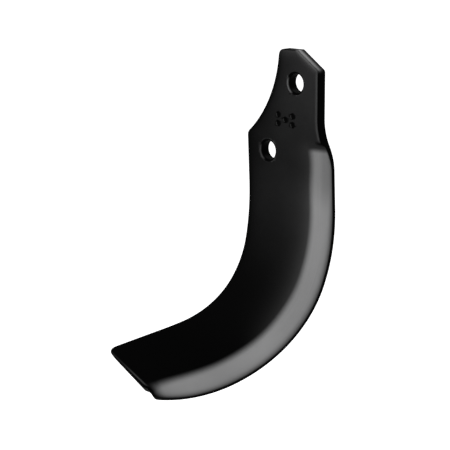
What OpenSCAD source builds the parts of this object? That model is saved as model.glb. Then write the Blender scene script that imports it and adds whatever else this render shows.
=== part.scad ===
/* [Plate] */
// Thickness of the forged plate
plate_t = 6; // [4.5:0.5:10]
// Rounding that forging leaves along the plate's edges
edge_r = 0.8; // [0.3:0.1:1.2]

/* [Bolt holes] */
// Diameter of both bolt holes
hole_d = 10.5; // [8:0.1:15]
// Distance between the centres of the two bolt holes
hole_pitch = 44; // [36:0.5:50]
// Lean of the line through both holes from upright, in degrees
hole_lean = 27.8; // [18:0.1:34]
// Size of the broken rim on the front face of each hole
hole_break = 0.8; // [0.1:0.1:1.2]

/* [Shank] */
// Distance from the upper hole's centre to the shank's straight right edge
shank_right = 16.7; // [12:0.1:20]
// Height of the top edge's right end above the upper hole's centre
top_h = 18.1; // [15:0.1:26]
// Length of the top edge, measured up to its sharp left corner
top_w = 13.9; // [8:0.1:16]
// Fall of the top edge toward its left corner, in degrees
top_fall = 1; // [0:0.5:10]
// How far the rounding of the top's left corner reaches along both edges
top_soft = 4; // [2:0.5:5]
// Width of the cut corner at the top right
cut_w = 15.6; // [8:0.1:18]
// Height of the cut corner at the top right
cut_h = 10; // [5:0.1:15]
// Radius of the hollow relief on the shank's left side
relief_r = 66; // [40:1:200]
// Distance of the heel corner to the left of the upper hole's centre
heel_out = 36.6; // [30:0.1:44]
// Distance of the heel corner below the upper hole's centre
heel_drop = 30.3; // [24:0.1:38]
// How far the rounding of the heel corner reaches along both edges
heel_soft = 1.8; // [0.5:0.1:3]

/* [Inner edge] */
// Lean of the inner edge toward the cutting edge below the heel, in degrees
inner_lean = 2.6; // [0:0.1:4]
// Length of the inner edge's straight stretch below the heel
inner_straight = 27.4; // [15:0.1:40]
// Radius of the inner edge's upper sweep
inner_r = 130; // [85:1:160]
// Angle of the inner edge's upper sweep, in degrees
inner_turn = 25.7; // [15:0.1:35]
// Radius of the inner edge's lower sweep, which turns into the hook
hook_r = 83; // [70:1:125]
// Angle of the lower sweep, in degrees
hook_turn = 29; // [15:0.1:40]
// Length of the inner edge's straight run from the hook to the tip
inner_run = 47.1; // [28:0.1:55]
// How far the rounding of the tip's inner corner reaches along both edges
tip_soft = 6.5; // [3:0.5:8]

/* [Cutting edge] */
// Distance from the upper hole's centre down to the start of the shoulder
shoulder_drop = 17.9; // [12:0.1:24]
// How far the shoulder stands out from the shank's straight edge
shoulder_out = 7.6; // [3:0.1:11]
// Height over which the shoulder swells
shoulder_h = 29; // [20:0.5:40]
// Lean of the cutting edge outward below the shoulder, in degrees
outer_lean = 2.2; // [0:0.1:5]
// Length of the cutting edge's straight stretch below the shoulder
outer_straight = 20.5; // [8:0.5:35]
// Radius of the cutting edge's first sweep
sweep_1_r = 105; // [70:1:150]
// Angle of the first sweep, in degrees
sweep_1_turn = 18.7; // [8:0.1:28]
// Radius of the cutting edge's long middle sweep
sweep_2_r = 176; // [150:1:220]
// Angle of the middle sweep, in degrees
sweep_2_turn = 27.5; // [23:0.1:35]
// Radius of the cutting edge's last sweep, which runs to the tip
sweep_3_r = 81; // [60:1:110]
// Angle of the last sweep, in degrees
sweep_3_turn = 33.7; // [22:0.1:44]
// How far the rounding of the tip's outer corner reaches along both edges
point_soft = 3.6; // [1.2:0.1:4]

/* [Bevel] */
// Width of the bevel below the shoulder
bevel_w = 13.3; // [8:0.1:16]
// Width that the bevel grows to toward the tip
bevel_low_w = 15.2; // [9:0.1:17]
// Width that the bevel runs out to at the tip
bevel_tip_w = 2; // [1.5:0.1:8]
// Length of the cutting edge over which the bevel runs out
bevel_taper = 52; // [15:1:70]
// Depth of the bevel at the cutting edge
bevel_depth = 3.4; // [1:0.1:3.6]
// Extra roll of the bevel right at the cutting edge
roll_depth = 0.6; // [0:0.1:0.8]
// Width of that roll
roll_w = 2.6; // [1.5:0.1:4]
// Distance from the upper hole's centre down to the bevel's upper end
bevel_drop = 30.4; // [26:0.1:40]
// Length of the ramp from the front face down to the bevel
ramp_l = 2.8; // [2:0.1:12]

/* [Bend] */
// Distance below the upper hole's centre at which the bend line crosses the hole's upright
bend_drop = 102.6; // [90:0.1:115]
// Tilt of the bend line from level, in degrees
bend_tilt = 18; // [8:0.5:30]
// Radius of the bend at the middle of the plate
bend_r = 95; // [70:1:160]
// Angle through which the tip is bent forward, in degrees
bend_angle = 46; // [20:1:60]

/* [Hidden] */

// Facets of the bolt holes
hole_fn = 72;
// How far a cutter reaches past the face that it opens
past = 1;

// Steps along the left side: top corner, relief, heel, straight, two sweeps, run and tip corner
left_steps = [5, 16, 3, 20, 19, 17, 14, 5];
// Steps along the right side: cut, its foot, shank, swell out and back, straight, sweeps and point
right_steps = [6, 2, 8, 10, 14, 4, 8, 18, 25, 4];
// How far the rounding at the foot of the cut corner reaches along both edges
cut_soft = 1.2;
// Places of the points across the bevel, as shares of its width from the cutting edge
bevel_marks = [0.12, 0.3, 0.6, 0.92, 1.08];
// Number of equal steps from the bevel's inner side to the inner edge
face_steps = 6;
// Least share of the bevel's width that its points take beside the shoulder
least_marks = 0.3;
// Share of a row's length that the bevel's points may take where the plate is narrow
bevel_share = 0.55;
// Half width of the soft crease where the bevel meets the face, as a share of the bevel's width
crease = 0.07;
// Angles of the points round a rounded edge, from the face to the wall
edge_angles = [0, 45, 90];
// Largest share of the wall's thickness that one rounding may take
edge_share = 0.42;
// Least cosine used where the outline turns a corner, so that a sharp corner can't be moved in too far
least_mitre = 0.3;
// Least cosine between a row and the square to the cutting edge
least_square = 0.5;

front = -plate_t / 2;
back = plate_t / 2;
lower_hole = hole_pitch * [-sin(hole_lean), -cos(hole_lean)];

// Small helpers for points in the flat plane of the plate, [across, up]
function aim(h) = [cos(h), sin(h)];
function unit(v) = v / norm(v);
function turned(v) = [-v.y, v.x];
function clamp(x, low, high) = min(max(x, low), high);
function smooth(t) = t * t * (3 - 2 * t);
function arc_len(r, turn) = r * turn * PI / 180;

// Point at share t of a leg that starts at p with heading h, is len long and turns by turn degrees
function leg_point(p, h, len, turn, t) =
    abs(turn) < 0.001
    ? p + len * t * aim(h)
    : p + len * 180 / (turn * PI) * [sin(h + turn * t) - sin(h), cos(h) - cos(h + turn * t)];
// Points of a leg at equal steps, from share t0 to share t1, without the first one
function leg(p, h, len, turn, n, t0 = 0, t1 = 1) =
    [for (k = [1:n]) leg_point(p, h, len, turn, t0 + (t1 - t0) * k / n)];
// Points of a rounded corner c between points a and b, without the first one
function soft_corner(a, c, b, n) =
    [for (k = [1:n]) let (t = k / n) (1 - t) * (1 - t) * a + 2 * t * (1 - t) * c + t * t * b];
// Points of a straight line from a to b at equal steps, without the first one
function line(a, b, n) = [for (k = [1:n]) a + (b - a) * k / n];

// Corners of the shank, with sharp edges
top_right = [shank_right - cut_w, top_h];
top_left = top_right - top_w * aim(top_fall);
cut_foot = [shank_right, top_h - cut_h];
heel = [-heel_out, -heel_drop];

// The relief is an arc from the top's left corner to the heel, hollow toward the outside
relief_chord = heel - top_left;
relief_turn = 2 * asin(norm(relief_chord) / (2 * relief_r));
relief_len = arc_len(relief_r, relief_turn);
relief_h = atan2(relief_chord.y, relief_chord.x) + relief_turn / 2;

// Legs of the inner edge, from the heel down
inner_h = -90 + inner_lean;
hook_h = inner_h - inner_turn;
run_h = hook_h - hook_turn;
sweep_start = heel + inner_straight * aim(inner_h);
hook_start = leg_point(sweep_start, inner_h, arc_len(inner_r, inner_turn), -inner_turn, 1);
hook_end = leg_point(hook_start, hook_h, arc_len(hook_r, hook_turn), -hook_turn, 1);
tip_inner = hook_end + inner_run * aim(run_h);

// The shoulder is two arcs that swing the edge out and back by nearly the same angle
swell = 2 * atan(shoulder_out / shoulder_h);
swell_r = shoulder_h / (2 * sin(swell));
shoulder_top = [shank_right, -shoulder_drop];
shoulder_mid = leg_point(shoulder_top, -90, arc_len(swell_r, swell), swell, 1);
shoulder_back = swell - outer_lean;
shoulder_end = leg_point(shoulder_mid, swell - 90, arc_len(swell_r, shoulder_back), -shoulder_back, 1);

// Legs of the cutting edge, from the shoulder down to the tip
outer_h = outer_lean - 90;
turn_1 = sweep_1_turn + outer_lean;
edge_1 = shoulder_end + outer_straight * aim(outer_h);
edge_2 = leg_point(edge_1, outer_h, arc_len(sweep_1_r, turn_1), -turn_1, 1);
edge_2_h = outer_h - turn_1;
edge_3 = leg_point(edge_2, edge_2_h, arc_len(sweep_2_r, sweep_2_turn), -sweep_2_turn, 1);
edge_3_h = edge_2_h - sweep_2_turn;
sweep_3_len = arc_len(sweep_3_r, sweep_3_turn);
tip_outer = leg_point(edge_3, edge_3_h, sweep_3_len, -sweep_3_turn, 1);
point_share = 1 - point_soft / sweep_3_len;
point_start = leg_point(edge_3, edge_3_h, sweep_3_len, -sweep_3_turn, point_share);

// Ends of the straight parts of the top edge and of the tip
tip_dir = unit(tip_outer - tip_inner);
top_start = top_left + top_soft * aim(top_fall);
tip_start = tip_inner + tip_soft * tip_dir;
tip_end = tip_outer - point_soft * tip_dir;

// Left side of the blank, from the top edge to the tip's straight end
left_side = concat(
    [top_start],
    soft_corner(top_start, top_left,
        leg_point(top_left, relief_h, relief_len, -relief_turn, top_soft / relief_len), left_steps[0]),
    leg(top_left, relief_h, relief_len, -relief_turn, left_steps[1],
        top_soft / relief_len, 1 - heel_soft / relief_len),
    soft_corner(leg_point(top_left, relief_h, relief_len, -relief_turn, 1 - heel_soft / relief_len),
        heel, heel + heel_soft * aim(inner_h), left_steps[2]),
    line(heel + heel_soft * aim(inner_h), sweep_start, left_steps[3]),
    leg(sweep_start, inner_h, arc_len(inner_r, inner_turn), -inner_turn, left_steps[4]),
    leg(hook_start, hook_h, arc_len(hook_r, hook_turn), -hook_turn, left_steps[5]),
    line(hook_end, tip_inner - tip_soft * aim(run_h), left_steps[6]),
    soft_corner(tip_inner - tip_soft * aim(run_h), tip_inner, tip_start, left_steps[7])
);

// Right side of the blank, from the top edge down the cutting edge to the tip's straight end
cut_dir = unit(cut_foot - top_right);
cut_end = cut_foot - cut_soft * cut_dir;
shank_start = cut_foot - [0, cut_soft];
right_side = concat(
    [top_right],
    line(top_right, cut_end, right_steps[0]),
    soft_corner(cut_end, cut_foot, shank_start, right_steps[1]),
    line(shank_start, shoulder_top, right_steps[2]),
    leg(shoulder_top, -90, arc_len(swell_r, swell), swell, right_steps[3]),
    leg(shoulder_mid, swell - 90, arc_len(swell_r, shoulder_back), -shoulder_back, right_steps[4]),
    line(shoulder_end, edge_1, right_steps[5]),
    leg(edge_1, outer_h, arc_len(sweep_1_r, turn_1), -turn_1, right_steps[6]),
    leg(edge_2, edge_2_h, arc_len(sweep_2_r, sweep_2_turn), -sweep_2_turn, right_steps[7]),
    leg(edge_3, edge_3_h, sweep_3_len, -sweep_3_turn, right_steps[8], 0, point_share),
    soft_corner(point_start, tip_outer, tip_end, right_steps[9])
);

rows = len(left_side) - 1;
cols = len(bevel_marks) + face_steps + 1;

// Inward direction at point i of a side, halfway between its two neighbouring stretches, and long
// enough that both stretches move inward by the same amount
function inward(before, p, after) =
    let (
        n1 = turned(unit(p - before)),
        n2 = turned(unit(after - p)),
        n = unit(n1 + n2)
    )
    n / max(n * n1, least_mitre);
// Both sides run down the blank, so the inside lies to the left of the left side's travel
left_in = [for (i = [0:rows])
    inward(
        i > 0 ? left_side[i - 1] : top_right,
        left_side[i],
        i < rows ? left_side[i + 1] : tip_end)];
right_in = [for (i = [0:rows])
    inward(
        i < rows ? right_side[i + 1] : tip_start,
        right_side[i],
        i > 0 ? right_side[i - 1] : top_start)];

// Distance along the cutting edge from point i of the right side to the tip
function edge_left(i) = i >= rows ? 0 : norm(right_side[i + 1] - right_side[i]) + edge_left(i + 1);
edge_run = [for (i = [0:rows]) edge_left(i)];
// The bevel is ground straight on past the shoulder, so its width is measured from the line of the
// straight edge, and the swelling shoulder lies inside that line by this much
edge_out = turned(aim(outer_h));
shoulder_row = right_steps[0] + right_steps[1] + right_steps[2] + right_steps[3] + right_steps[4];
shoulder_gap = [for (i = [0:rows])
    i < shoulder_row ? clamp((shoulder_end - right_side[i]) * edge_out, 0, shoulder_out) : 0];
// Width of the bevel in row i, from the line that it is ground to
function bevel_at(i) =
    let (
        grown = bevel_w + (bevel_low_w - bevel_w) * clamp(1 - edge_run[i] / edge_run[shoulder_row], 0, 1),
        t = clamp(edge_run[i] / bevel_taper, 0, 1)
    )
    bevel_tip_w + (grown - bevel_tip_w) * sqrt(t * (2 - t));
// How square row i stands to the cutting edge, as a cosine
function squareness(i) = max(unit(left_side[i] - right_side[i]) * unit(right_in[i]), least_square);

// Depth that the bevel takes off the front face at distance w from its outer line, in row i, at height z
function soft_rise(x) = x > crease ? x : x < -crease ? 0 : pow(x + crease, 2) / (4 * crease);
function bevel_cut(w, i, z) =
    smooth(clamp((-bevel_drop - z) / ramp_l, 0, 1))
    * (bevel_depth * min(bevel_at(i) / bevel_w, 1) * soft_rise(1 - w / bevel_at(i))
        + roll_depth * pow(max(1 - w / roll_w, 0), 2));

// Distance of each point of row i from its right end, from the cutting edge to the inner edge
function row_marks(i, len) =
    let (
        b = min(max(bevel_at(i) - shoulder_gap[i], least_marks * bevel_at(i)) / squareness(i),
            bevel_share * len)
    )
    concat([0], b * bevel_marks,
        [for (k = [1:face_steps])
            let (s = bevel_marks[len(bevel_marks) - 1] * b) s + (len - s) * k / face_steps]);
// Points of row i in the flat plane, moved in from the outline by the edge's rounding
function row_points(i) =
    let (
        l = left_side[i] + edge_r * left_in[i],
        r = right_side[i] + edge_r * right_in[i],
        len = norm(l - r),
        marks = row_marks(i, len)
    )
    [for (m = marks) r + (l - r) * m / len];
// Depth of the front face at each point of row i
function row_depths(i, points) =
    [for (p = points)
        front + bevel_cut(norm(p - points[0]) * squareness(i) + edge_r + shoulder_gap[i], i, p.y)];

flat_rows = [for (i = [0:rows]) row_points(i)];
flat_depths = [for (i = [0:rows]) row_depths(i, flat_rows[i])];

// The bend rolls the plate forward about a line that crosses the blank, from the bend line down
bend_start = [0, -bend_drop];
bend_along = -aim(90 - bend_tilt);
bend_axis = aim(-bend_tilt);
// Place in space of flat point p at depth d behind the middle of the plate
function bent(p, d) =
    let (
        u = (p - bend_start) * bend_along,
        v = (p - bend_start) * bend_axis,
        f = clamp(u / arc_len(bend_r, 1), 0, bend_angle),
        past_bend = max(u - arc_len(bend_r, bend_angle), 0),
        along = min(u, 0) + bend_r * sin(f) + past_bend * cos(f) + d * sin(f),
        forward = bend_r * (1 - cos(f)) + past_bend * sin(f) - d * cos(f),
        q = bend_start + along * bend_along + v * bend_axis
    )
    [q.x, front - forward, q.y];

// Loop round the whole blank: down the left side, along the tip, up the right side, along the top
loop = concat(
    [for (i = [0:rows]) [i, cols - 1]],
    [for (j = [cols - 2:-1:1]) [rows, j]],
    [for (i = [rows:-1:0]) [i, 0]],
    [for (j = [1:cols - 2]) [0, j]]
);
loop_n = len(loop);
// Inward direction at each point of the loop
top_in = turned(-aim(top_fall));
tip_in = turned(tip_dir);
function loop_in(c) =
    c[1] == cols - 1 ? left_in[c[0]]
    : c[1] == 0 ? right_in[c[0]]
    : c[0] == 0 ? top_in
    : tip_in;
// One ring round the edge: the front rounding for side = 1, the back rounding for side = -1
function ring(a, side) =
    [for (c = loop)
        let (
            inner = flat_rows[c[0]][c[1]],
            face = flat_depths[c[0]][c[1]],
            r = min(edge_r, edge_share * (back - face)),
            p = inner - edge_r * sin(a) * loop_in(c),
            drop = r * (1 - cos(a))
        )
        bent(p, side > 0 ? face + drop : back - drop)];

front_points = [for (i = [0:rows]) for (j = [0:cols - 1]) bent(flat_rows[i][j], flat_depths[i][j])];
back_points = [for (i = [0:rows]) for (j = [0:cols - 1]) bent(flat_rows[i][j], back)];
edge_rings = concat(
    [for (a = [for (k = [1:len(edge_angles) - 1]) edge_angles[k]]) ring(a, 1)],
    [for (a = [for (k = [len(edge_angles) - 1:-1:1]) edge_angles[k]]) ring(a, -1)]
);

// Numbers of the points: the front grid, then the back grid, then the rings
function front_id(c) = c[0] * cols + c[1];
function back_id(c) = (rows + 1) * cols + front_id(c);
function ring_id(k, n) =
    k == 0 ? front_id(loop[n])
    : k == len(edge_rings) + 1 ? back_id(loop[n])
    : 2 * (rows + 1) * cols + (k - 1) * loop_n + n;
// Two triangles for a four-sided cell
function cell(a, b, c, d) = [[a, b, c], [a, c, d]];

front_faces = [for (i = [0:rows - 1]) for (j = [0:cols - 2])
    each cell(front_id([i, j]), front_id([i + 1, j]), front_id([i + 1, j + 1]), front_id([i, j + 1]))];
back_faces = [for (i = [0:rows - 1]) for (j = [0:cols - 2])
    each cell(back_id([i, j]), back_id([i, j + 1]), back_id([i + 1, j + 1]), back_id([i + 1, j]))];
edge_faces = [for (k = [0:len(edge_rings)]) for (n = [0:loop_n - 1])
    let (m = (n + 1) % loop_n)
    each cell(ring_id(k, n), ring_id(k, m), ring_id(k + 1, m), ring_id(k + 1, n))];

// The forged plate: swept outline, ground bevel, rounded edges and forward bend, before drilling
module forged_plate() {
    polyhedron(
        points = concat(front_points, back_points, [for (r = edge_rings) each r]),
        faces = concat(front_faces, back_faces, edge_faces),
        convexity = 6
    );
}

// One bolt hole through the shank, with its front rim broken
module bolt_hole(at) {
    translate([at.x, 0, at.y])
    rotate([90, 0, 0])
    union() {
        translate([0, 0, -past])
        cylinder(d = hole_d, h = plate_t + 2 * past, $fn = hole_fn);
        translate([0, 0, plate_t - hole_break])
        cylinder(d1 = hole_d, d2 = hole_d + 2 * (hole_break + past), h = hole_break + past, $fn = hole_fn);
    }
}

// The whole blade, one forging of spring steel
module blade() {
    color([0.09, 0.09, 0.095])
    difference() {
        forged_plate();
        bolt_hole([0, 0]);
        bolt_hole(lower_hole);
    }
}

blade();
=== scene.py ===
import math

import bpy
import numpy as np
from mathutils import Matrix, Vector


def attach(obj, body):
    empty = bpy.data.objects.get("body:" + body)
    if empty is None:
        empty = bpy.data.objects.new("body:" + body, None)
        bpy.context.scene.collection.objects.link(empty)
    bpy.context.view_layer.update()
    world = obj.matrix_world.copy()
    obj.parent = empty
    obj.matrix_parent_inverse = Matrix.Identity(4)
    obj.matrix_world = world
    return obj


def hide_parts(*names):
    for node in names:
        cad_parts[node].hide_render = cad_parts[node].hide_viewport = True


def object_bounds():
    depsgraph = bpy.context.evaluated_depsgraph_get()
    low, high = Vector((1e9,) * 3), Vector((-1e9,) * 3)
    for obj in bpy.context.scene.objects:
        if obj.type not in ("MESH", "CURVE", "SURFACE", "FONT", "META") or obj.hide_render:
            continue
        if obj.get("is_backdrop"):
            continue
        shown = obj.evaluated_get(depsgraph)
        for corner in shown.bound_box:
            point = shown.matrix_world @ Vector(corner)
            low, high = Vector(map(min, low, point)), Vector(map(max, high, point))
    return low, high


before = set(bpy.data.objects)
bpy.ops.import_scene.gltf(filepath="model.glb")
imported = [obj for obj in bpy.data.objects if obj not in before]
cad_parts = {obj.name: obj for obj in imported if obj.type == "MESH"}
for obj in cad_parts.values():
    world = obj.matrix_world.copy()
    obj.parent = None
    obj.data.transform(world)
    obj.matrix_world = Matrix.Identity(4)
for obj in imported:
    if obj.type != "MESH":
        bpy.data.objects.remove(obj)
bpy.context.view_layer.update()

# A rotary tiller blade: one forging, black all over, with a ground bevel along its cutting edge.
# The blade is laid out flat, as [across, up] in millimetres from the centre of the upper bolt hole,
# gets its bevel and its rounded edges, and is then rolled forward and turned into metres.
MM = 0.001

# Plate
PLATE_T = 6.0
FRONT = -PLATE_T / 2
BACK = PLATE_T / 2
EDGE_R = 0.8
EDGE_SHARE = 0.42

# Bolt holes
HOLE_D = 10.5
HOLE_PITCH = 44.0
HOLE_LEAN = 27.8
RIM_R = 1.1
RIM_W = 1.4

# Shank
SHANK_RIGHT = 16.7
TOP_H = 18.1
TOP_W = 13.9
TOP_FALL = 1.0
TOP_SOFT = 4.0
CUT_W = 15.6
CUT_H = 10.0
CUT_SOFT = 1.2
RELIEF_R = 66.0
HEEL = np.array([-36.6, -30.3])
HEEL_SOFT = 1.8

# Inner edge, from the heel down to the tip
INNER_LEAN = 2.6
INNER_STRAIGHT = 27.4
INNER_R = 130.0
INNER_TURN = 25.7
HOOK_R = 83.0
HOOK_TURN = 29.0
INNER_RUN = 47.1
TIP_SOFT = 6.5

# Cutting edge, from the shoulder down to the tip
SHOULDER_DROP = 17.9
SHOULDER_OUT = 7.6
SHOULDER_H = 29.0
OUTER_LEAN = 2.2
OUTER_STRAIGHT = 20.5
SWEEP_R = (105.0, 176.0, 81.0)
SWEEP_TURN = (18.7, 27.5, 33.7)
POINT_SOFT = 3.6

# Bevel
BEVEL_W = 13.3
BEVEL_LOW_W = 15.2
BEVEL_TIP_W = 2.0
BEVEL_TAPER = 52.0
BEVEL_DEPTH = 3.4
ROLL_DEPTH = 0.6
ROLL_W = 2.6
BEVEL_DROP = 30.4
RAMP_L = 2.8
CREASE = 0.07

# Bend
BEND_DROP = 102.6
BEND_TILT = 18.0
BEND_R = 95.0
BEND_ANGLE = 46.0

# Bare steel on the bevel: how far inside each of its borders it begins, and over what distance; at the tip its
# fade is partly painted shade, darker where the bevel curves away
GROUND_IN = 1.2
GROUND_IN_LOW = 0.4
GROUND_IN_TIP = 2.2
GROUND_SOFT = 5.5
GROUND_TOP = 4.4
GROUND_TOP_SOFT = 3.8
GROUND_TIP_AND_SHADE = 9.8
GROUND_TIP_AND_SHADE_SOFT = 9.0
GROUND_OUT = 0.3
GROUND_OUT_LOW = 0.2
GROUND_OUT_REACH = 0.35
GROUND_OUT_REACH_LOW = 1.2

# Five round punch dimples on the shank: the middle one's place, and how far off the others lie
PUNCH_AT = np.array([-7.4, -20.6])
PUNCH_STEP = np.array([5.4, 2.4])
PUNCH_PLACES = PUNCH_AT + PUNCH_STEP * np.array([[0, 0], [-1, -1], [-1, 1], [1, -1], [1, 1]])
PUNCH_R = 2.4
PUNCH_SUNK = 0.7

# Dent in the tip's edge beside the point: its depth, and its reach into the blade
DENT = 1.15
DENT_REACH = 5.0

# Finish: black scale in a shaded and a lit copy that are mixed as painted shade, bare steel, and the painted
# highlight on the left of the rims
# The shaded and the lit copy of the black scale, mixed as painted shade
SHADED_SCALE = (0.0012, 0.0012, 0.0012, 1)
LIT_SCALE = (0.021, 0.021, 0.0212, 1)
BARE_STEEL = (0.16, 0.16, 0.161, 1)
SCALE_GLOSS = 0.004
SCALE_ROUGH = 0.45
BARE_ROUGH = 0.55
# Painted highlight on the left of the bolt holes' and the dimples' rims, and the side it lies on
RIM_HIGHLIGHT = (0.55, 0.27)
PUNCH_HIGHLIGHT = 0.3
HIGHLIGHT_SIDE = np.array([-0.951, -0.309])
SHARP_ANGLE = 32.0

# Steps of the grid: along each leg of both sides, across the bevel, across the face, round an edge
FINE = 4
LEFT_STEPS = FINE * np.array([5, 16, 3, 20, 19, 17, 14, 5])
RIGHT_STEPS = FINE * np.array([6, 2, 8, 10, 14, 4, 8, 18, 25, 4])
BEVEL_STEPS = 22
FACE_STEPS = 22
EDGE_STEPS = 8
WALL_STEPS = 8
RIM_STEPS = 128
BORE_STEPS = 9

# Camera, fitted to the bolt holes and the outline in the photograph
PHOTO_PX = 450
PX_PER_MM = 1.86
HOLE_PX = (295.4, 83.5)
CAMERA_AZIMUTH = 45.7
CAMERA_ELEVATION = 12.0
CAMERA_FAR = 1100.0
SENSOR = 36.0
CLIP_END = 50.0

# Studio, in metres and watts
FLOOR_GAP = 0.20
FLOOR_R = 9.0
FLOOR_GLOW = 0.85
SKY_FILL = 0.45
KEY_POWER = 9.0
SIDE_POWER = 1.5
BACK_POWER = 5.0


def aim(heading):
    """Unit vector [across, up] at a heading in degrees."""
    return np.array([math.cos(math.radians(heading)), math.sin(math.radians(heading))])


def turned(v):
    """Vector [across, up] turned by a quarter to the left."""
    return np.array([-v[1], v[0]])


def unit(v):
    """Vectors along the last axis, made one long."""
    return v / np.linalg.norm(v, axis=-1, keepdims=True)


def shares(steps, first=0.0, last=1.0):
    """Equal steps from first to last as a column, without the first one."""
    return first + (last - first) * np.arange(1, steps + 1)[:, None] / steps


def smooth(t):
    """Ease from 0 to 1 as 3t^2 - 2t^3, held outside that span."""
    t = np.clip(t, 0, 1)
    return t * t * (3 - 2 * t)


def fade(distance, reach):
    """Falls off as e to the power of minus distance over reach, and is 1 below distance 0."""
    return np.exp(-np.maximum(distance, 0) / reach)


def arc_length(radius, turn):
    """Length of an arc of turn degrees."""
    return radius * math.radians(turn)


def leg(start, heading, length, turn, share):
    """Points at the given shares of a leg that leaves start at heading and turns evenly by turn degrees.

    A straight leg is start plus share times length along the heading. A turning leg is an arc whose
    radius is length over turn: start plus radius times the change of [sine, minus cosine] of the heading.
    """
    share = np.asarray(share, float)
    if abs(turn) < 1e-6:
        return start + length * share * aim(heading)
    begun = math.radians(heading)
    now = np.radians(heading + turn * share)
    swing = np.hstack([np.sin(now) - math.sin(begun), math.cos(begun) - np.cos(now)])
    return start + length / math.radians(turn) * swing


def leg_end(start, heading, length, turn):
    """Last point of a leg."""
    return leg(start, heading, length, turn, [[1.0]])[0]


def soft_corner(a, corner, b, steps):
    """Rounded corner as the quadratic curve (1-t)^2 a + 2t(1-t) corner + t^2 b."""
    t = shares(steps)
    return (1 - t) ** 2 * a + 2 * t * (1 - t) * corner + t ** 2 * b


def straight(a, b, steps):
    """Points of a straight line at equal steps."""
    return a + (b - a) * shares(steps)


# Corners of the top edge and of the cut beside it, with sharp edges
TOP_RIGHT = np.array([SHANK_RIGHT - CUT_W, TOP_H])
TOP_LEFT = TOP_RIGHT - TOP_W * aim(TOP_FALL)
CUT_FOOT = np.array([SHANK_RIGHT, TOP_H - CUT_H])
CUT_DIR = unit(CUT_FOOT - TOP_RIGHT)


def left_side():
    """Left side of the flat blank, from the top edge to the tip, and the tip's sharp inner corner.

    It is the relief's hollow arc, the heel, and the inner edge of line, two sweeps and line.
    """
    top_start = TOP_LEFT + TOP_SOFT * aim(TOP_FALL)
    chord = HEEL - TOP_LEFT
    relief_turn = 2 * math.degrees(math.asin(np.linalg.norm(chord) / (2 * RELIEF_R)))
    relief_len = arc_length(RELIEF_R, relief_turn)
    relief_h = math.degrees(math.atan2(chord[1], chord[0])) + relief_turn / 2
    relief = (TOP_LEFT, relief_h, relief_len, -relief_turn)
    after_top, before_heel = TOP_SOFT / relief_len, 1 - HEEL_SOFT / relief_len

    inner_h = INNER_LEAN - 90
    hook_h = inner_h - INNER_TURN
    run_h = hook_h - HOOK_TURN
    below_heel = HEEL + HEEL_SOFT * aim(inner_h)
    sweep_start = HEEL + INNER_STRAIGHT * aim(inner_h)
    sweep = (sweep_start, inner_h, arc_length(INNER_R, INNER_TURN), -INNER_TURN)
    hook = (leg_end(*sweep), hook_h, arc_length(HOOK_R, HOOK_TURN), -HOOK_TURN)
    tip_inner = leg_end(*hook) + INNER_RUN * aim(run_h)
    before_tip = tip_inner - TIP_SOFT * aim(run_h)

    n = LEFT_STEPS
    points = np.vstack([
        top_start[None],
        soft_corner(top_start, TOP_LEFT, leg(*relief, [[after_top]])[0], n[0]),
        leg(*relief, shares(n[1], after_top, before_heel)),
        soft_corner(leg(*relief, [[before_heel]])[0], HEEL, below_heel, n[2]),
        straight(below_heel, sweep_start, n[3]),
        leg(*sweep, shares(n[4])),
        leg(*hook, shares(n[5])),
        straight(leg_end(*hook), before_tip, n[6]),
        before_tip[None],
    ])[:-1]
    return points, before_tip, tip_inner


def right_side():
    """Right side of the flat blank down to the point, its last sweep's end, and the tip's outer corner.

    It is the cut corner, the shank, the shoulder of two opposed arcs, and the cutting edge of a line
    and three sweeps. The row at which the shoulder ends is given back too.
    """
    cut_end = CUT_FOOT - CUT_SOFT * CUT_DIR
    shank_start = CUT_FOOT - np.array([0, CUT_SOFT])
    swell = 2 * math.degrees(math.atan(SHOULDER_OUT / SHOULDER_H))
    swell_r = SHOULDER_H / (2 * math.sin(math.radians(swell)))
    swell_back = swell - OUTER_LEAN
    shoulder_top = np.array([SHANK_RIGHT, -SHOULDER_DROP])
    out = (shoulder_top, -90, arc_length(swell_r, swell), swell)
    back = (leg_end(*out), swell - 90, arc_length(swell_r, swell_back), -swell_back)
    shoulder_end = leg_end(*back)

    turn_1 = SWEEP_TURN[0] + OUTER_LEAN
    outer_h = OUTER_LEAN - 90
    edge_1 = shoulder_end + OUTER_STRAIGHT * aim(outer_h)
    sweep_1 = (edge_1, outer_h, arc_length(SWEEP_R[0], turn_1), -turn_1)
    sweep_2 = (leg_end(*sweep_1), outer_h - turn_1, arc_length(SWEEP_R[1], SWEEP_TURN[1]), -SWEEP_TURN[1])
    last_len = arc_length(SWEEP_R[2], SWEEP_TURN[2])
    sweep_3 = (leg_end(*sweep_2), outer_h - turn_1 - SWEEP_TURN[1], last_len, -SWEEP_TURN[2])
    before_point = 1 - POINT_SOFT / last_len

    m = RIGHT_STEPS
    points = np.vstack([
        TOP_RIGHT[None],
        straight(TOP_RIGHT, cut_end, m[0]),
        soft_corner(cut_end, CUT_FOOT, shank_start, m[1]),
        straight(shank_start, shoulder_top, m[2]),
        leg(*out, shares(m[3])),
        leg(*back, shares(m[4])),
        straight(shoulder_end, edge_1, m[5]),
        leg(*sweep_1, shares(m[6])),
        leg(*sweep_2, shares(m[7])),
        leg(*sweep_3, shares(m[8], 0, before_point)),
    ])
    return points, leg_end(*sweep_3), int(sum(m[:5]))


def blank_sides():
    """Both sides of the flat blank, closed by the tip's rounded corners, the tip's direction and the
    row at which the shoulder ends. Point i of each side spans row i."""
    left, before_tip, tip_inner = left_side()
    right, tip_outer, shoulder_row = right_side()
    tip_dir = unit(tip_outer - tip_inner)
    left = np.vstack([left, soft_corner(before_tip, tip_inner, tip_inner + TIP_SOFT * tip_dir,
                                        LEFT_STEPS[7])])
    right = np.vstack([right, soft_corner(right[-1], tip_outer, tip_outer - POINT_SOFT * tip_dir,
                                          RIGHT_STEPS[9])])
    return left, right, tip_dir, shoulder_row


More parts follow.
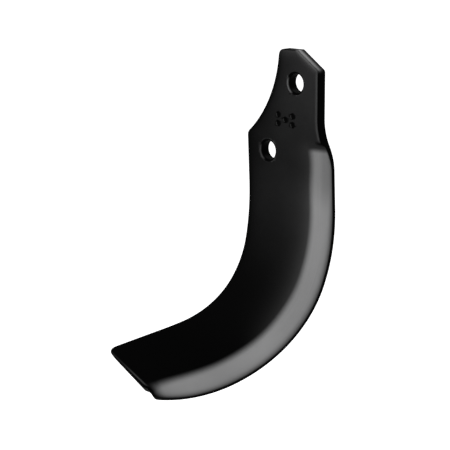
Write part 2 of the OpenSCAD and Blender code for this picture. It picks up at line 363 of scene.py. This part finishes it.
def inward(points, before_first, after_last):
    """Direction in which each point of a side moves in from the outline.

    It is the mean of the left-hand normals of the stretches before and after the point, lengthened by
    one over its cosine with either, so that both stretches move in by the same amount.
    """
    run = unit(np.diff(np.vstack([before_first, points, after_last]), axis=0))
    normal = np.stack([-run[:, 1], run[:, 0]], axis=1)
    mean = unit(normal[:-1] + normal[1:])
    cosine = (mean * normal[:-1]).sum(axis=1, keepdims=True)
    return mean / np.maximum(cosine, 0.3)


def bevel_width(run, full_run):
    """Width of the bevel at a distance along the cutting edge from the tip: it grows evenly from
    BEVEL_W at the shoulder to BEVEL_LOW_W and runs out at the tip as a quarter of an ellipse."""
    grown = BEVEL_W + (BEVEL_LOW_W - BEVEL_W) * np.clip(1 - run / full_run, 0, 1)
    t = np.clip(run / BEVEL_TAPER, 0, 1)
    return BEVEL_TIP_W + (grown - BEVEL_TIP_W) * np.sqrt(t * (2 - t))


def bevel_cut(from_line, width, up):
    """Depth that the bevel takes off the front face.

    It rises from 0 at the bevel's inner side to its full depth at the cutting edge, with a softened
    crease and an extra roll right at the edge, and fades in over the ramp at its upper end.
    """
    x = 1 - from_line / width
    rise = np.where(x > CREASE, x, np.where(x < -CREASE, 0, (x + CREASE) ** 2 / (4 * CREASE)))
    roll = np.maximum(1 - from_line / ROLL_W, 0) ** 2
    depth = BEVEL_DEPTH * np.minimum(width / BEVEL_W, 1)
    return smooth((-BEVEL_DROP - up) / RAMP_L) * (depth * rise + ROLL_DEPTH * roll)


def rolled(flat, depth):
    """Places in space, in millimetres, of flat points at a depth behind the middle of the plate.

    Up to the bend line a point only changes axes. Beyond it the distance along the bend turns into an
    angle of that length over the radius, up to the full bend, and the rest runs on straight.
    """
    start = np.array([0, -BEND_DROP])
    along_dir = -aim(90 - BEND_TILT)
    axis_dir = aim(-BEND_TILT)
    u = (flat - start) @ along_dir
    v = (flat - start) @ axis_dir
    angle = np.clip(u / BEND_R, 0, math.radians(BEND_ANGLE))
    past = np.maximum(u - BEND_R * math.radians(BEND_ANGLE), 0)
    along = np.minimum(u, 0) + BEND_R * np.sin(angle) + past * np.cos(angle) + depth * np.sin(angle)
    forward = BEND_R * (1 - np.cos(angle)) + past * np.sin(angle) - depth * np.cos(angle)
    place = start + along[..., None] * along_dir + v[..., None] * axis_dir
    return np.stack([place[..., 0], FRONT - forward, place[..., 1]], axis=-1)


def bare_bevel(from_edge, from_line, width, run, up):
    """Share of ground steel on the bevel: the product of four eased steps, one from each of its borders; the
    one at the tip is partly painted shade over the bevel's end.

    The inner one sets in nearer the line halfway down and further from it at the tip, and the outer one
    rises quickly beside the shoulder and slowly further down.
    """
    low_down = smooth((-up - 42) / 15) * smooth((run - 70) / 40)
    start = GROUND_IN + (GROUND_IN_LOW - GROUND_IN) * low_down + GROUND_IN_TIP * fade(run - 12, 9)
    inner = smooth((width - from_line - start) / GROUND_SOFT + 0.5)
    top = smooth((-BEVEL_DROP - GROUND_TOP - up) / GROUND_TOP_SOFT + 0.5)
    # Painted shade: the step at the tip fades the bevel's steel out where the bevel curves away, as well as
    # where it runs out
    tip_start = GROUND_TIP_AND_SHADE - 0.6 * fade(from_edge - 2.5, 2)
    tip = smooth((run - tip_start) / GROUND_TIP_AND_SHADE_SOFT + 0.5) * (1 - 0.14 * fade(run - 13, 8))
    # The outer border's step moves in and softens further down the blade
    further_down = smooth((-up - 55) / 25)
    reach = GROUND_OUT_REACH + (GROUND_OUT_REACH_LOW - GROUND_OUT_REACH) * further_down
    begin = GROUND_OUT + (GROUND_OUT_LOW - GROUND_OUT) * further_down
    return inner * top * tip * (1 - fade(from_edge - begin, reach))


def ground_tone(from_line, run, up):
    """How light the ground steel is, as painted shade: darker at the bevel's upper end and beside the edge
    there, and a little darker round the middle of the sweep."""
    high_up = 1 - smooth((-up - 48) / 22)
    beside = (1 - smooth((from_line - 4) / 4)) * (1 - smooth((-up - 50) / 30))
    middle = np.exp(-((run - 105) / 24) ** 2)
    return (1 - 0.24 * high_up) * (1 - 0.2 * beside) * (1 - 0.12 * middle)


def bare_cut_and_highlight(place):
    """Share of steel on the cut corner's wall and on the face beside it: steel that shearing left showing,
    faded down the cut and onto the face as a painted highlight.
    """
    into = (place - CUT_FOOT) @ turned(-CUT_DIR)
    down = (place - TOP_RIGHT) @ CUT_DIR / np.linalg.norm(CUT_FOOT - TOP_RIGHT)
    beside = smooth(down * 6 + 1.0) * smooth((1.06 - down) * 10)
    face = 0.34 * fade(into - EDGE_R, 1.15)
    return beside * (1 - 0.5 * np.clip(down, 0, 1) ** 3) * (face + 0.31 * smooth((EDGE_R - into) / 0.5))


def finish_and_painted_light(place, rows, tip, round_edge):
    """Values that the steel's surface and its painted light and shade are made from, at flat points of the
    front.

    The first value is the share of steel showing: the ground bevel, the sheared corner with its painted
    highlight, painted highlights along the shank's right edge, the tip's front edge and the top edge, and a
    trace of grinding beside the bevel. The second is the share of the lit black over the shaded black, from 0
    to 1, as painted shade. The third is how light the ground steel is, with painted shade on the bevel.
    round_edge is 0 on the face and grows to 1 where an edge has turned to the wall.
    """
    from_edge, from_line, width, run, from_left = rows
    up = place[..., 1]
    on_face = 1 - smooth(round_edge / 0.4)
    # Painted shadow under the step at the bevel's upper end, which also holds back the painted highlights there
    ramp_painted_shadow = np.exp(-((up + BEVEL_DROP + 0.5) / 1.0) ** 2) * smooth((5.5 - from_edge) / 3.5)

    # Painted highlight along the shank's right front edge
    on_shank = smooth((CUT_FOOT[1] + 1 - up) / 3) * smooth((up + BEVEL_DROP + 1.5) / 4)
    shank_painted_highlight = 0.2 * on_shank * np.exp(-((from_edge - 1.2) / 0.75) ** 2)

    # Painted highlight along the tip's front edge
    from_tip, down_tip = tip
    tip_painted_highlight = (0.07 + 0.22 * smooth((down_tip - 0.2) / 0.5)) * smooth((0.95 - down_tip) * 8)
    tip_painted_highlight = tip_painted_highlight * np.exp(-((from_tip - 0.9 - 1.3 * down_tip) / 0.38) ** 2)

    # Painted highlight along the top edge
    top_painted_highlight = 0.15 * fade(TOP_H - up - EDGE_R, 2.6)
    lower = smooth((-up - 45) / 20)
    trace = (0.10 + 0.08 * lower) * fade(from_line - width, 5 + 2 * lower)
    trace = trace * smooth((-up - 28) / 9) * smooth((run - 58) / 66)
    # The painted highlights and the grinding trace move the face towards steel, except under the ramp's painted
    # shadow
    lightened = (shank_painted_highlight + tip_painted_highlight + top_painted_highlight + trace) * on_face * (1 - ramp_painted_shadow)
    ground = bare_bevel(from_edge, from_line, width, run, up)
    bare_and_highlight = np.clip(np.maximum(ground, np.maximum(bare_cut_and_highlight(place), lightened)), 0, 1)

    # Share of the lit black over the shaded black, as painted shade: darker down the blade and at the tip,
    # towards the left side, right at the left outline, in a patch on the left, on the rounded edges and walls,
    # and under the ramp
    lit_share = (1 - smooth((-up - 42) / 82)) * (1 - 0.8 * fade(from_left, 11 - 3 * smooth((-up - 20) / 25)))
    lit_share = lit_share * (1 - 0.9 * fade(from_left - 0.8, 0.8)) * (1 - 0.62 * np.exp(-((up + 36) / 20) ** 2) * fade(from_left - 3, 24))
    lit_share = lit_share * (1 - 0.42 * smooth((-up - 2) / 42)) * (1 - smooth(round_edge * 2.5)) * (1 - ramp_painted_shadow)
    return {"bare_and_highlight": bare_and_highlight, "lit_share": lit_share, "tone": ground_tone(from_line, run, up)}


def blade_grid():
    """The blade's closed surface: a front grid, a back grid and rings that round the edge between them.

    Row i runs from the cutting edge to the inner edge. Its points are crowded toward both sides of the
    bevel and of the face by a cosine. Ring k at angle a lies EDGE_R sin a outside the grid's border and
    EDGE_R (1 - cos a) behind the face, for the front and then, mirrored, for the back.
    """
    left, right, tip_dir, shoulder_row = blank_sides()
    left_in = inward(left, right[0], right[-1])
    right_in = -inward(right, left[0], left[-1])
    step = np.linalg.norm(np.diff(right, axis=0), axis=1)
    run = np.append(np.cumsum(step[::-1])[::-1], 0)
    width = bevel_width(run, run[shoulder_row])
    gap = np.clip((right[shoulder_row] - right) @ turned(aim(OUTER_LEAN - 90)), 0, SHOULDER_OUT)
    gap[shoulder_row:] = 0
    square = np.maximum((unit(left - right) * unit(right_in)).sum(axis=1), 0.5)

    l = left + EDGE_R * left_in
    r = right + EDGE_R * right_in
    length = np.linalg.norm(l - r, axis=1)
    bevel = 1.12 * np.minimum(np.maximum(width - gap, 0.3 * width) / square, 0.55 * length)
    near = 0.5 - 0.5 * np.cos(np.linspace(0, math.pi, BEVEL_STEPS + 1))
    far = 0.5 - 0.5 * np.cos(np.linspace(0, math.pi, FACE_STEPS + 1))[1:]
    marks = np.hstack([bevel[:, None] * near, bevel[:, None] + (length - bevel)[:, None] * far])
    flat = r[:, None] + (l - r)[:, None] * (marks / length[:, None])[..., None]
    rows, cols = marks.shape

    from_edge = marks * square[:, None] + EDGE_R
    from_line = from_edge + gap[:, None]
    run_at = np.broadcast_to(run[:, None], marks.shape)
    width_at = np.broadcast_to(width[:, None], marks.shape)
    from_left = length[:, None] - marks
    front = FRONT + bevel_cut(from_line, width_at, flat[..., 1])
    tip_in = turned(tip_dir)
    tip_len = np.linalg.norm(right[-1] - left[-1])

    def tip_place(points):
        return (points - left[-1]) @ tip_in, (points - left[-1]) @ tip_dir / tip_len

    i, j = np.arange(rows), np.arange(1, cols - 1)
    across, last = np.ones_like(j), rows - 1
    loop_i = np.concatenate([i, last * across, i[::-1], 0 * across])
    loop_j = np.concatenate([np.full(rows, cols - 1), j[::-1], np.zeros(rows, int), j])
    loop_in = np.vstack([left_in, np.tile(tip_in, (cols - 2, 1)), right_in[::-1],
                         np.tile(turned(-aim(TOP_FALL)), (cols - 2, 1))])
    loop_n = len(loop_i)

    angle = np.linspace(0, math.pi / 2, EDGE_STEPS + 1)[1:, None]
    out = EDGE_R * np.sin(angle)
    border, face = flat[loop_i, loop_j], front[loop_i, loop_j]
    radius = np.minimum(EDGE_R, EDGE_SHARE * (BACK - face))
    ring_flat = border[None] - out[..., None] * loop_in[None]
    front_rings = face + radius * (1 - np.cos(angle))
    back_rings = BACK - radius * (1 - np.cos(angle))
    down_wall = shares(WALL_STEPS)[:-1]
    wall_flat = np.tile(ring_flat[-1], (WALL_STEPS - 1, 1, 1))
    wall_rings = front_rings[-1] + (back_rings[-1] - front_rings[-1]) * down_wall

    flat_all = np.vstack([part.reshape(-1, 2) for part in (flat, flat, ring_flat, wall_flat, ring_flat[::-1])])
    depth_all = np.concatenate([part.ravel() for part in (front, BACK + 0 * front, front_rings, wall_rings,
                                                          back_rings[::-1])])
    along_tip = (flat_all - left[-1]) @ tip_dir / tip_len
    dent = smooth((along_tip - 0.85) / 0.1) * smooth((1.12 - along_tip) / 0.08)
    dent = DENT * dent * fade((flat_all - left[-1]) @ tip_in, DENT_REACH)
    points = rolled(flat_all + dent[:, None] * tip_in, depth_all)

    grid = np.arange(rows * cols).reshape(rows, cols)
    a, b = grid[:-1, :-1].ravel(), grid[1:, :-1].ravel()
    c, d = grid[1:, 1:].ravel(), grid[:-1, 1:].ravel()
    back_id = rows * cols
    ring_n = 2 * EDGE_STEPS + WALL_STEPS - 1
    ring_ids = 2 * back_id + np.arange(ring_n * loop_n).reshape(ring_n, loop_n)
    bands = np.vstack([grid[loop_i, loop_j][None], ring_ids, grid[loop_i, loop_j][None] + back_id])
    after = np.roll(bands, -1, axis=1)
    faces = np.vstack([np.stack([a, d, c, b], axis=1), np.stack([a, b, c, d], axis=1) + back_id,
                       np.stack([bands[:-1], bands[1:], after[1:], after[:-1]], axis=-1).reshape(-1, 4)])

    # Finish with painted highlights and painted shade: on the front face, on the front's rounding, and plainer
    # on the back and its rounding
    at_right = loop_j == 0
    ring_edge = np.where(at_right, EDGE_R - out, from_edge[loop_i, loop_j])
    ring_line = ring_edge + gap[loop_i]
    ring_left = np.maximum(np.where(loop_j == cols - 1, 0, from_left[loop_i, loop_j]), 0) + 0 * out
    ring_run, ring_width = run[loop_i] + 0 * out, width[loop_i] + 0 * out
    on_face = finish_and_painted_light(flat, (from_edge, from_line, width_at, run_at, from_left), tip_place(flat), 0 * marks)
    on_ring = finish_and_painted_light(ring_flat, (ring_edge, ring_line, ring_width, ring_run, ring_left),
                     tip_place(ring_flat), np.sin(angle) ** 2 + 0 * ring_edge)
    past_peak = (down_wall - 0.2) / np.where(down_wall > 0.2, 0.37, 0.5)
    # Steel on the cut corner's wall in a band near the front, shaped as a painted highlight
    wall_cut_and_highlight = bare_cut_and_highlight(wall_flat) * np.exp(-past_peak ** 2)
    # The back gets less of the lit black and grows darker towards the bottom: painted shade
    back_lit_share = 0.6 * (1 - 0.5 * smooth((-flat[..., 1] - 40) / 90))
    wall_none = 0 * wall_rings
    values = {
        "bare_and_highlight": (on_face["bare_and_highlight"], 0 * marks, on_ring["bare_and_highlight"], wall_cut_and_highlight, 0 * ring_edge),
        "lit_share": (on_face["lit_share"], back_lit_share, on_ring["lit_share"], wall_none, 0 * ring_edge),
        "tone": (on_face["tone"], 1 + 0 * marks, on_ring["tone"], wall_none + 1, 1 + 0 * ring_edge),
        "across_grind": (from_line * MM, from_line * MM, ring_line * MM, wall_none, ring_line * MM),
        "along_grind": (run_at * MM, run_at * MM, ring_run * MM, wall_none, ring_run * MM),
    }
    return points, faces, {name: np.concatenate([part.ravel() for part in parts])
                           for name, parts in values.items()}


def new_piece(name, points, faces, values):
    """A piece from places in millimetres, the corners of its faces, and named values for its points."""
    mesh = bpy.data.meshes.new(name)
    mesh.from_pydata((points * MM).tolist(), [], faces)
    for key, value in values.items():
        attribute = mesh.attributes.new(key, "FLOAT", "POINT")
        attribute.data.foreach_set("value", value.astype(np.float32))
    mesh.update()
    piece = bpy.data.objects.new(name, mesh)
    bpy.context.scene.collection.objects.link(piece)
    return piece


def turned_cutter(name, radius, depth, centre):
    """Cutter turned about a line along the plate's thickness: a profile of radii and depths, closed at
    both ends by a pole, carried round RIM_STEPS equal angles."""
    angle = np.linspace(0, 2 * math.pi, RIM_STEPS, endpoint=False)
    x = centre[0] + radius[:, None] * np.cos(angle)
    z = centre[1] + radius[:, None] * np.sin(angle)
    y = np.broadcast_to(depth[:, None], x.shape)
    poles = [[centre[0], depth[0], centre[1]], [centre[0], depth[-1], centre[1]]]
    points = np.vstack([np.stack([x, y, z], axis=-1).reshape(-1, 3), poles])
    ids = np.arange(x.size).reshape(x.shape)
    after = np.roll(ids, -1, axis=1)
    sides = np.stack([ids[:-1], ids[1:], after[1:], after[:-1]], axis=-1).reshape(-1, 4)
    first_cap = np.stack([ids[0], after[0], np.full(RIM_STEPS, x.size)], axis=1)
    last_cap = np.stack([after[-1], ids[-1], np.full(RIM_STEPS, x.size + 1)], axis=1)
    return new_piece(name, points, sides.tolist() + first_cap.tolist() + last_cap.tolist(), {})


def bolt_hole_cutter(name, centre):
    """Bolt hole: a straight bore whose front rim opens out along a quarter ellipse, RIM_W wide and RIM_R
    deep."""
    t = np.linspace(0, math.pi / 2, 9)
    bore = HOLE_D / 2
    radius = np.concatenate([[bore + RIM_W], bore + RIM_W * (1 - np.sin(t)), np.full(BORE_STEPS, bore)])
    wall = RIM_R + (PLATE_T - RIM_R) * shares(BORE_STEPS)[:-1].ravel() ** 1.5
    depth = np.concatenate([[-1.0], RIM_R * (1 - np.cos(t)), wall, [PLATE_T + 1]]) - PLATE_T
    return turned_cutter(name, radius, depth, centre)


def punch_cutter(name, centre):
    """Round-nosed punch: the lower part of a ball that reaches PUNCH_SUNK into the front face."""
    t = np.linspace(0.02, math.pi - 0.02, 48)
    depth = -PLATE_T + PUNCH_SUNK - PUNCH_R + PUNCH_R * -np.cos(t)
    return turned_cutter(name, PUNCH_R * np.sin(t), depth, centre)


def hollow_shade_and_highlight(mesh, centre, radius, rim, reach, rim_highlight):
    """Painted light inside a hole or a dimple: the shaded black as painted shade, and steel on the rim's left
    as a painted highlight.

    The way down from the outline is rim arccos(1 - depth / rim) on the rounding, and goes straight on below it.
    The painted highlight's share of steel follows a bell curve of that way, and round the rim it is an eased
    step in the cosine of the angle from the side that takes the highlight.
    """
    place = np.empty(3 * len(mesh.vertices), np.float32)
    mesh.vertices.foreach_get("co", place)
    out = place.reshape(-1, 3)[:, [0, 2]] / MM - centre
    depth = place.reshape(-1, 3)[:, 1] / MM + PLATE_T
    inside = (radius - np.linalg.norm(out, axis=1) > 0.02) & (depth < reach)
    facing = unit(out + 1e-6)
    way = rim * np.arccos(np.clip(1 - depth / rim, 0, 1)) + np.maximum(depth - rim, 0)
    lightened = smooth((facing @ HIGHLIGHT_SIDE - 0.6) / 0.32)
    bare_and_highlight = rim_highlight * lightened * np.exp(-((way / rim - 0.5) / 0.38) ** 2)
    for name, value in (("bare_and_highlight", bare_and_highlight), ("lit_share", 0 * bare_and_highlight), ("tone", 1 + 0 * bare_and_highlight)):
        layer = mesh.attributes[name].data
        kept = np.empty(len(mesh.vertices), np.float32)
        layer.foreach_get("value", kept)
        layer.foreach_set("value", np.where(inside, value, kept).astype(np.float32))


def drilled(piece, cutters):
    """The piece's mesh becomes what is left of it once the cutters are taken away."""
    for cutter in cutters:
        cut = piece.modifiers.new("cut", "BOOLEAN")
        cut.operation = "DIFFERENCE"
        cut.solver = "EXACT"
        cut.object = cutter
    graph = bpy.context.evaluated_depsgraph_get()
    made = bpy.data.meshes.new_from_object(piece.evaluated_get(graph))
    piece.modifiers.clear()
    made.name = piece.name
    piece.data = made
    for cutter in cutters:
        bpy.data.objects.remove(cutter)


def make_blade():
    """The forged blade: shaped, drilled and punched, with smooth shading up to the rims."""
    points, faces, values = blade_grid()
    blade = new_piece("forged_blade", points, faces.tolist(), values)
    holes = np.array([[0, 0], -HOLE_PITCH * aim(90 - HOLE_LEAN)])
    cutters = [bolt_hole_cutter(f"drill_{k}", place) for k, place in enumerate(holes)]
    cutters += [punch_cutter(f"punch_{k}", place) for k, place in enumerate(PUNCH_PLACES)]
    drilled(blade, cutters)
    # Painted shade inside the holes and dimples, and a painted highlight on their rims' left
    for place, rim_highlight in zip(holes, RIM_HIGHLIGHT):
        hollow_shade_and_highlight(blade.data, place, HOLE_D / 2 + RIM_W, RIM_R, PLATE_T + 0.1, rim_highlight)
    punch_rim = math.sqrt(PUNCH_R ** 2 - (PUNCH_R - PUNCH_SUNK) ** 2)
    for place in PUNCH_PLACES:
        hollow_shade_and_highlight(blade.data, place, punch_rim, PUNCH_SUNK, PUNCH_SUNK + 0.1, PUNCH_HIGHLIGHT)
    blade.data.shade_smooth()
    blade.data.set_sharp_from_angle(angle=math.radians(SHARP_ANGLE))
    shading = blade.modifiers.new("even_shading", "WEIGHTED_NORMAL")
    shading.keep_sharp = True
    blade.data.materials.clear()
    blade.data.materials.append(blade_steel())
    return blade


def group_socket(tree, name, way, start=None):
    """A named number that a node group takes in or gives out."""
    socket = tree.interface.new_socket(name=name, in_out=way, socket_type="NodeSocketFloat")
    if start is not None:
        socket.default_value = start


def math_node(tree, operation, *values):
    """A Math node on sockets or numbers, and its result."""
    node = tree.nodes.new("ShaderNodeMath")
    node.operation = operation
    for socket, value in zip(node.inputs, values):
        if isinstance(value, bpy.types.NodeSocket):
            tree.links.new(value, socket)
        else:
            socket.default_value = value
    return node.outputs[0]


def blend(tree, kind, factor, a, b):
    """Blend of two values of a kind, RGBA for colours or FLOAT for numbers."""
    node = tree.nodes.new("ShaderNodeMix")
    node.data_type = kind
    factor_in, a_in, b_in = [socket for socket in node.inputs if socket.enabled]
    for socket, value in ((factor_in, factor), (a_in, a), (b_in, b)):
        if isinstance(value, bpy.types.NodeSocket):
            tree.links.new(value, socket)
        else:
            socket.default_value = value
    return next(socket for socket in node.outputs if socket.enabled)


def noise(tree, vector, scale, detail, roughness):
    """A Noise texture, and its value."""
    node = tree.nodes.new("ShaderNodeTexNoise")
    node.inputs["Detail"].default_value = detail
    node.inputs["Roughness"].default_value = roughness
    tree.links.new(vector, node.inputs["Vector"])
    if isinstance(scale, bpy.types.NodeSocket):
        tree.links.new(scale, node.inputs["Scale"])
    else:
        node.inputs["Scale"].default_value = scale
    return node.outputs["Fac"]


def mesh_value(tree, name):
    """The value that the mesh carries under a name."""
    node = tree.nodes.new("ShaderNodeAttribute")
    node.attribute_name = name
    return node.outputs["Fac"]


def forge_mottle():
    """Shader group: the cloudy mottle and the fine grit of forged steel, on Object coordinates.

    Cloud is a slow noise, Grit a fast one, and Height their weighted sum.
    """
    tree = bpy.data.node_groups.new("forge_mottle", "ShaderNodeTree")
    group_socket(tree, "Cloud Scale", "INPUT", 55.0)
    group_socket(tree, "Grit Scale", "INPUT", 1100.0)
    for name in ("Cloud", "Grit", "Height"):
        group_socket(tree, name, "OUTPUT")
    inside = tree.nodes.new("NodeGroupInput")
    outside = tree.nodes.new("NodeGroupOutput")
    place = tree.nodes.new("ShaderNodeTexCoord").outputs["Object"]
    cloud = noise(tree, place, inside.outputs["Cloud Scale"], 5.0, 0.62)
    grit = noise(tree, place, inside.outputs["Grit Scale"], 3.0, 0.55)
    height = math_node(tree, "MULTIPLY_ADD", grit, 0.35, cloud)
    for name, value in (("Cloud", cloud), ("Grit", grit), ("Height", height)):
        tree.links.new(value, outside.inputs[name])
    return tree


def grind_lines():
    """Shader group: fine lines that a grinding belt leaves along the cutting edge.

    A noise on [distance from the edge, distance along it], stretched a hundredfold along the edge.
    """
    tree = bpy.data.node_groups.new("grind_lines", "ShaderNodeTree")
    group_socket(tree, "Across", "INPUT", 0.0)
    group_socket(tree, "Along", "INPUT", 0.0)
    group_socket(tree, "Lines", "OUTPUT")
    inside = tree.nodes.new("NodeGroupInput")
    outside = tree.nodes.new("NodeGroupOutput")
    place = tree.nodes.new("ShaderNodeCombineXYZ")
    tree.links.new(math_node(tree, "MULTIPLY", inside.outputs["Across"], 1500.0), place.inputs[0])
    tree.links.new(math_node(tree, "MULTIPLY", inside.outputs["Along"], 25.0), place.inputs[1])
    tree.links.new(noise(tree, place.outputs[0], 1.0, 3.0, 0.6), outside.inputs["Lines"])
    return tree


def blade_steel():
    """Black scale in a shaded and a lit copy, mixed as painted shade that is darkest on the walls and in the
    hollows, that gives way to ground steel and painted highlights where the mesh says so."""
    material = bpy.data.materials.new("black_steel_with_ground_bevel")
    material.use_nodes = True
    tree = material.node_tree
    shader = tree.nodes["Principled BSDF"]
    shader.inputs["Specular IOR Level"].default_value = SCALE_GLOSS
    mottle = tree.nodes.new("ShaderNodeGroup")
    mottle.node_tree = forge_mottle()
    lines = tree.nodes.new("ShaderNodeGroup")
    lines.node_tree = grind_lines()
    tree.links.new(mesh_value(tree, "across_grind"), lines.inputs["Across"])
    tree.links.new(mesh_value(tree, "along_grind"), lines.inputs["Along"])
    bare_and_highlight, lit_share, tone = (mesh_value(tree, name) for name in ("bare_and_highlight", "lit_share", "tone"))

    cloudy = math_node(tree, "MULTIPLY_ADD", mottle.outputs["Cloud"], 0.7, 0.65)
    lit_mottled = math_node(tree, "MULTIPLY", lit_share, cloudy)
    # Mix of the shaded and the lit copy of the black scale: painted shade
    scale = blend(tree, "RGBA", lit_mottled, SHADED_SCALE, LIT_SCALE)
    lined = math_node(tree, "MULTIPLY_ADD", lines.outputs["Lines"], 0.16, 0.92)
    clouded = math_node(tree, "MULTIPLY_ADD", mottle.outputs["Cloud"], 0.2, 0.9)
    light = math_node(tree, "MULTIPLY", tone, math_node(tree, "MULTIPLY", lined, clouded))
    steel = blend(tree, "RGBA", light, (0, 0, 0, 1), BARE_STEEL)
    # Steel shows on the ground bevel and also where edges and rims take painted highlights
    tree.links.new(blend(tree, "RGBA", bare_and_highlight, scale, steel), shader.inputs["Base Color"])
    tree.links.new(bare_and_highlight, shader.inputs["Metallic"])
    tree.links.new(blend(tree, "FLOAT", bare_and_highlight, SCALE_ROUGH, BARE_ROUGH), shader.inputs["Roughness"])

    bump = tree.nodes.new("ShaderNodeBump")
    bump.inputs["Strength"].default_value = 0.25
    bump.inputs["Distance"].default_value = 0.0001
    tree.links.new(mottle.outputs["Height"], bump.inputs["Height"])
    tree.links.new(bump.outputs["Normal"], shader.inputs["Normal"])
    return material


def place_camera():
    """Camera that puts the upper hole's front rim on its pixel at the photograph's scale."""
    a, e = math.radians(CAMERA_AZIMUTH), math.radians(CAMERA_ELEVATION)
    right = np.array([math.cos(a), math.sin(a), 0])
    back = np.array([math.sin(a) * math.cos(e), -math.cos(a) * math.cos(e), math.sin(e)])
    up = np.cross(back, right)
    hole = np.array([0, -PLATE_T, 0])
    aside = (HOLE_PX[0] - PHOTO_PX / 2) / PX_PER_MM
    above = (PHOTO_PX / 2 - HOLE_PX[1]) / PX_PER_MM
    eye = hole - aside * right - above * up + CAMERA_FAR * back
    data = bpy.data.cameras.new("photo_camera")
    data.sensor_width = SENSOR
    data.lens = SENSOR * PX_PER_MM * CAMERA_FAR / PHOTO_PX
    data.clip_end = CLIP_END
    camera = bpy.data.objects.new("photo_camera", data)
    camera.matrix_world = Matrix.Translation(Vector(eye * MM)) @ Matrix((right, up, back)).transposed().to_4x4()
    bpy.context.scene.collection.objects.link(camera)
    bpy.context.scene.camera = camera


def soft_lamp(name, toward, distance, size, power, centre):
    """Square soft lamp, seen from the blade in a given direction and turned to face it."""
    toward = Vector(toward).normalized()
    data = bpy.data.lights.new(name, "AREA")
    data.shape = "SQUARE"
    data.size = size
    data.energy = power
    lamp = bpy.data.objects.new(name, data)
    lamp.location = Vector(centre) + distance * toward
    lamp.rotation_euler = toward.to_track_quat("Z", "Y").to_euler()
    bpy.context.scene.collection.objects.link(lamp)


def pale_ray(tree):
    """1 for rays from the camera and for mirrored or transmitted rays, 0 for scattered light."""
    path = tree.nodes.new("ShaderNodeLightPath")
    seen = math_node(tree, "MAXIMUM", path.outputs["Is Camera Ray"], path.outputs["Is Glossy Ray"])
    return math_node(tree, "MAXIMUM", seen, path.outputs["Is Transmission Ray"])


def white_surroundings():
    """White all round for the camera and for reflections, and a soft grey fill for scattered light."""
    world = bpy.data.worlds.new("white_surroundings")
    world.use_nodes = True
    bpy.context.scene.world = world
    tree = world.node_tree
    background = tree.nodes["Background"]
    background.inputs["Color"].default_value = (1, 1, 1, 1)
    tree.links.new(blend(tree, "FLOAT", pale_ray(tree), SKY_FILL, 1.0), background.inputs["Strength"])


def pale_floor(centre, level):
    """A round pale floor well below the blade, lit up where it is seen so that it comes out white."""
    angle = np.linspace(0, 2 * math.pi, 96, endpoint=False)
    ring = np.stack([centre[0] + FLOOR_R * np.cos(angle), centre[1] + FLOOR_R * np.sin(angle),
                     np.full(angle.size, level)], axis=1)
    mesh = bpy.data.meshes.new("floor")
    mesh.from_pydata(ring.tolist(), [], [list(range(angle.size))])
    floor = bpy.data.objects.new("floor", mesh)
    bpy.context.scene.collection.objects.link(floor)
    material = bpy.data.materials.new("pale_floor")
    material.use_nodes = True
    tree = material.node_tree
    shader = tree.nodes["Principled BSDF"]
    shader.inputs["Base Color"].default_value = (0.8, 0.8, 0.8, 1)
    shader.inputs["Roughness"].default_value = 0.9
    shader.inputs["Specular IOR Level"].default_value = 0.0
    shader.inputs["Emission Color"].default_value = (1, 1, 1, 1)
    tree.links.new(math_node(tree, "MULTIPLY", pale_ray(tree), FLOOR_GLOW), shader.inputs["Emission Strength"])
    mesh.materials.append(material)
    floor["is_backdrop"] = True


blade = make_blade()
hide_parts("blade")
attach(blade, "root")

low, high = (np.array(corner, float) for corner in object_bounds())
middle = (low + high) / 2
place_camera()
white_surroundings()
pale_floor(middle, low[2] - FLOOR_GAP)
soft_lamp("front_lamp", (-0.55, -0.78, 0.30), 1.2, 0.9, KEY_POWER, middle)
soft_lamp("side_lamp", (0.75, -0.62, 0.25), 1.3, 0.7, SIDE_POWER, middle)
soft_lamp("back_top_lamp", (-0.05, 0.68, 0.73), 1.2, 0.6, BACK_POWER, middle)
bpy.context.scene.view_settings.view_transform = "Standard"
